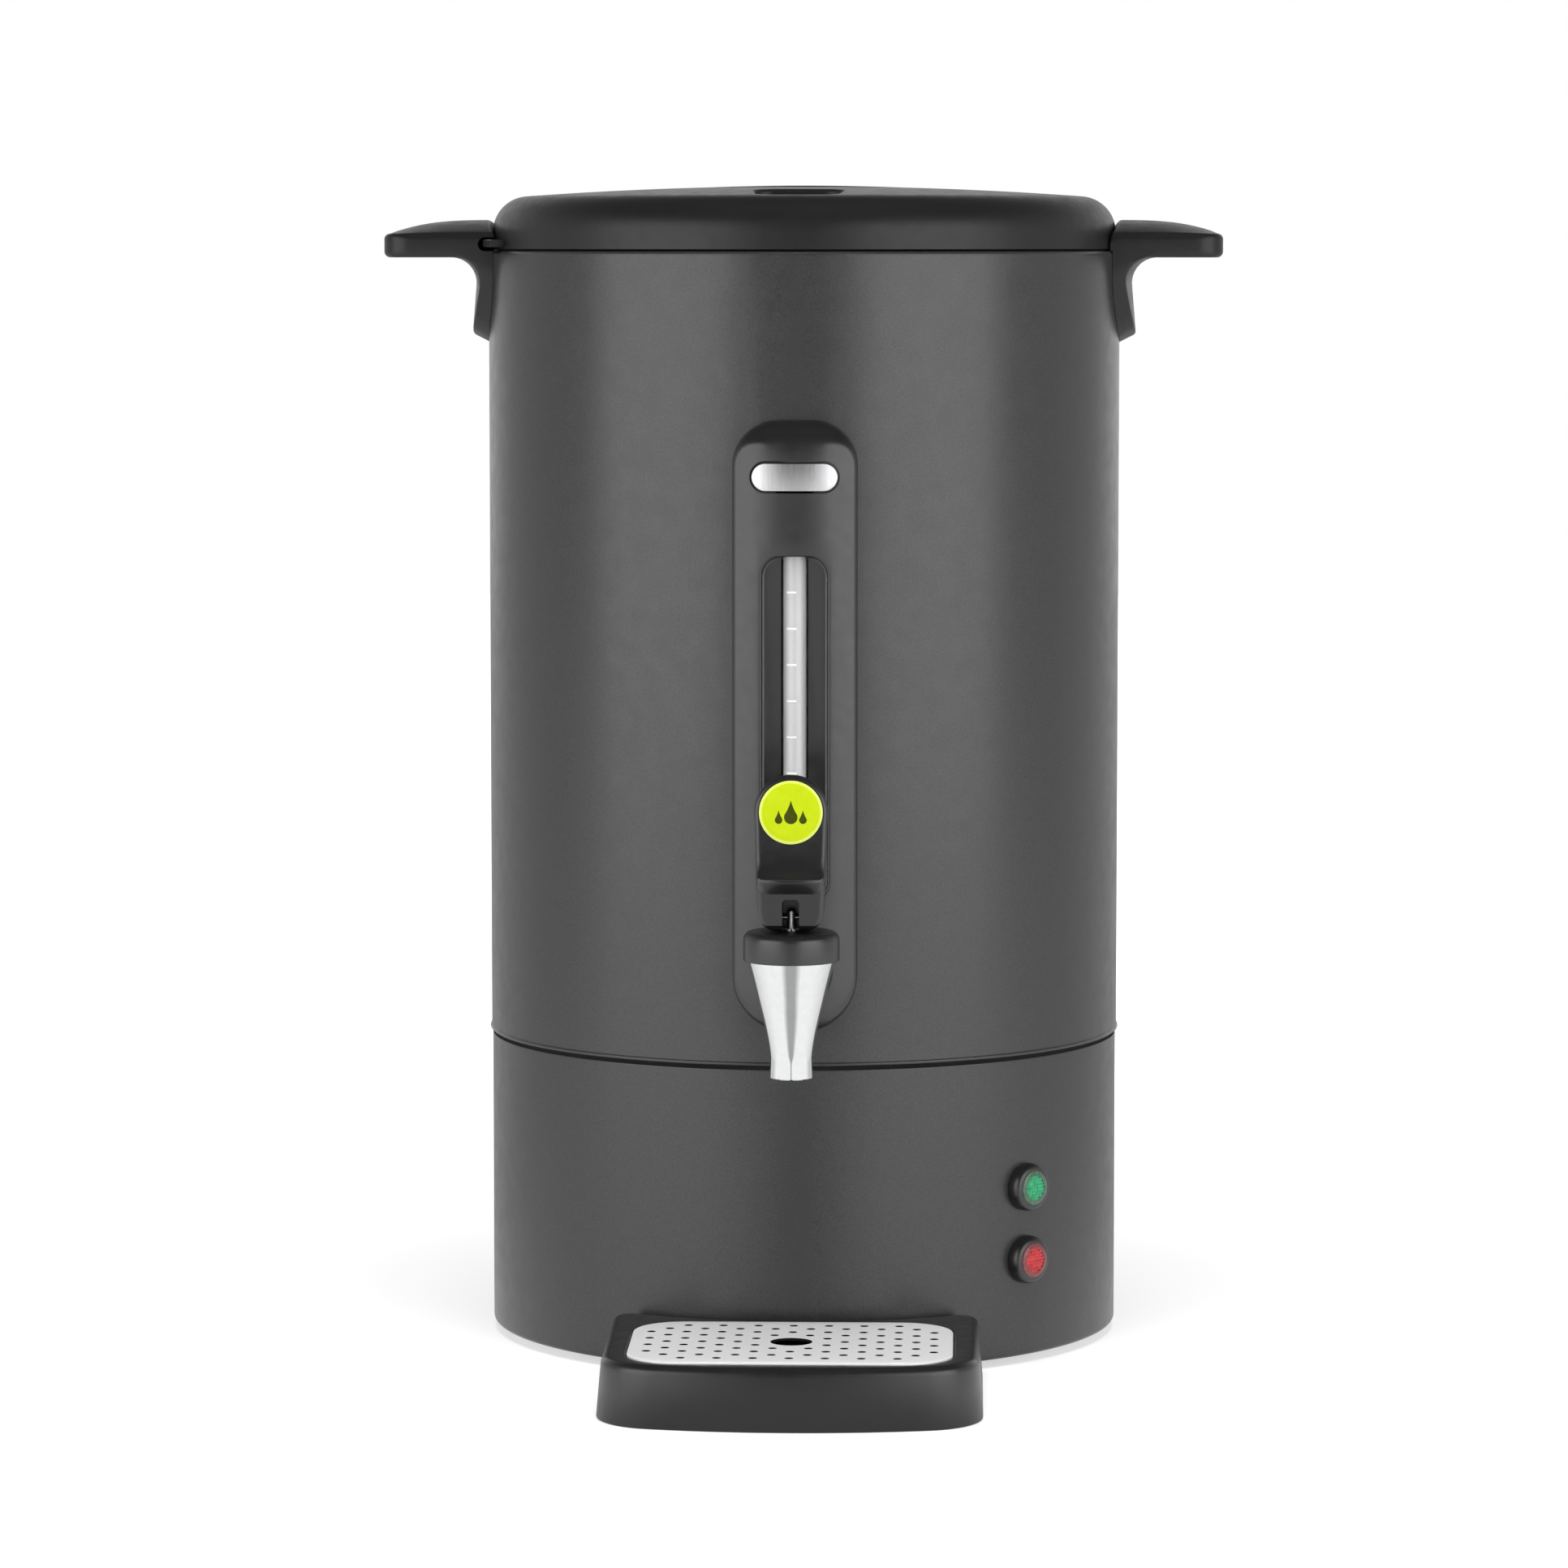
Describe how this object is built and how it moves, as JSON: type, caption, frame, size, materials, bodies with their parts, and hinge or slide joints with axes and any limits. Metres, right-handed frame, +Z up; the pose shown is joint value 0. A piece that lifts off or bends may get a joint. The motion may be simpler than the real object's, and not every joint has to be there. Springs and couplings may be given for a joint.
{
  "type": "coffee urn",
  "caption": "Double-walled percolator urn with a twist-lock lid, ear handles, level gauge, lever tap, pilot lamps and a loose drip tray.",
  "frame": {"origin": "on the body's axis at the counter that the feet stand on", "axes": "+Z up along the body's axis, -Y to the front where the tap is, +X to the right seen from the front"},
  "size_m": [0.396, 0.4295, 0.5465],
  "materials": {
    "powder_coat": "fine-grain matt powder coat",
    "moulded_black": "lightly grained moulding",
    "chrome": "polished plate",
    "steel": "brushed sheet",
    "bright_steel": "turned bar",
    "aluminium": "as rolled",
    "rubber": "matt",
    "seal_rubber": "matt silicone",
    "level_glass": "clear",
    "lime": "satin",
    "green_lens": "translucent, ribbed",
    "red_lens": "translucent, ribbed",
    "bakelite": "plain"
  },
  "bodies": {
    "urn": {"jacket": "powder_coat", "base_shell": "moulded_black", "left_handle": "moulded_black", "right_handle": "moulded_black", "gauge_cover": "moulded_black", "tap_bonnet": "moulded_black", "shank_washer": "moulded_black", "green_bezel": "moulded_black", "red_bezel": "moulded_black", "switch_frame": "moulded_black", "cord_gland": "moulded_black", "gland_nut": "moulded_black", "lamp_nuts": "moulded_black", "tap_body": "chrome", "tank": "steel", "pump_tube": "steel", "coffee_basket": "steel", "basket_cover": "steel", "gauge_badge": "steel", "bottom_plate": "steel", "tap_spring": "bright_steel", "shank_nut": "bright_steel", "clamp_rod": "bright_steel", "clamp_nut": "bright_steel", "bottom_screws": "bright_steel", "handle_screws": "bright_steel", "gauge_screws": "bright_steel", "heater_element": "bright_steel", "heater_plate": "aluminium", "feet": "rubber", "gauge_cap": "rubber", "gauge_seal": "seal_rubber", "shank_gasket": "seal_rubber", "inner_gasket": "seal_rubber", "gauge_glass": "level_glass", "green_lens": "green_lens", "red_lens": "red_lens", "thermostat": "bakelite", "thermal_cutout": "bakelite", "terminal_block": "bakelite"},
    "lid_seal": {"lid_seal": "seal_rubber"},
    "lid": {"lid_shell": "moulded_black", "lid_grip_cup": "moulded_black"},
    "stem": {"tap_stem": "bright_steel", "seat_cup": "seal_rubber"},
    "lever": {"tap_lever": "moulded_black", "lever_pin": "bright_steel", "lever_badge": "lime"},
    "tray": {"drip_tray": "moulded_black"},
    "plate": {"drip_plate": "steel"},
    "rocker": {"switch_rocker": "moulded_black"}
  },
  "joints": [
    {"name": "lid_lift", "type": "slide", "parent": "urn", "child": "lid_seal", "axis": [0, 0, 1], "range_m": [0, 0.16]},
    {"name": "lid_turn", "type": "hinge", "parent": "lid_seal", "child": "lid", "pos_m": [0, 0, 0.5169], "axis": [0, 0, 1], "range_deg": [-17, 0]},
    {"name": "stem_lift", "type": "slide", "parent": "urn", "child": "stem", "axis": [0, 0, 1], "range_m": [0, 0.0041], "deforming": ["tap_spring"]},
    {"name": "lever_pull", "type": "hinge", "parent": "stem", "child": "lever", "pos_m": [0, -0.211, 0.2203], "axis": [1, 0, 0], "range_deg": [0, 35], "stiffness_Nm_per_rad": 0.1, "springref_deg": -20.05},
    {"name": "tray_slide", "type": "slide", "parent": "urn", "child": "tray", "axis": [0, -1, 0], "range_m": [0, 0.12]},
    {"name": "plate_lift", "type": "slide", "parent": "tray", "child": "plate", "axis": [0, 0, 1], "range_m": [0, 0.05]},
    {"name": "rocker_tip", "type": "hinge", "parent": "urn", "child": "rocker", "pos_m": [0, 0.1472, 0.077], "axis": [1, 0, 0], "range_deg": [-20, 0]}
  ],
  "couplings": [
    {"joint": "stem_lift", "follows": "lever_pull", "m_per_rad": 0.00655}
  ]
}
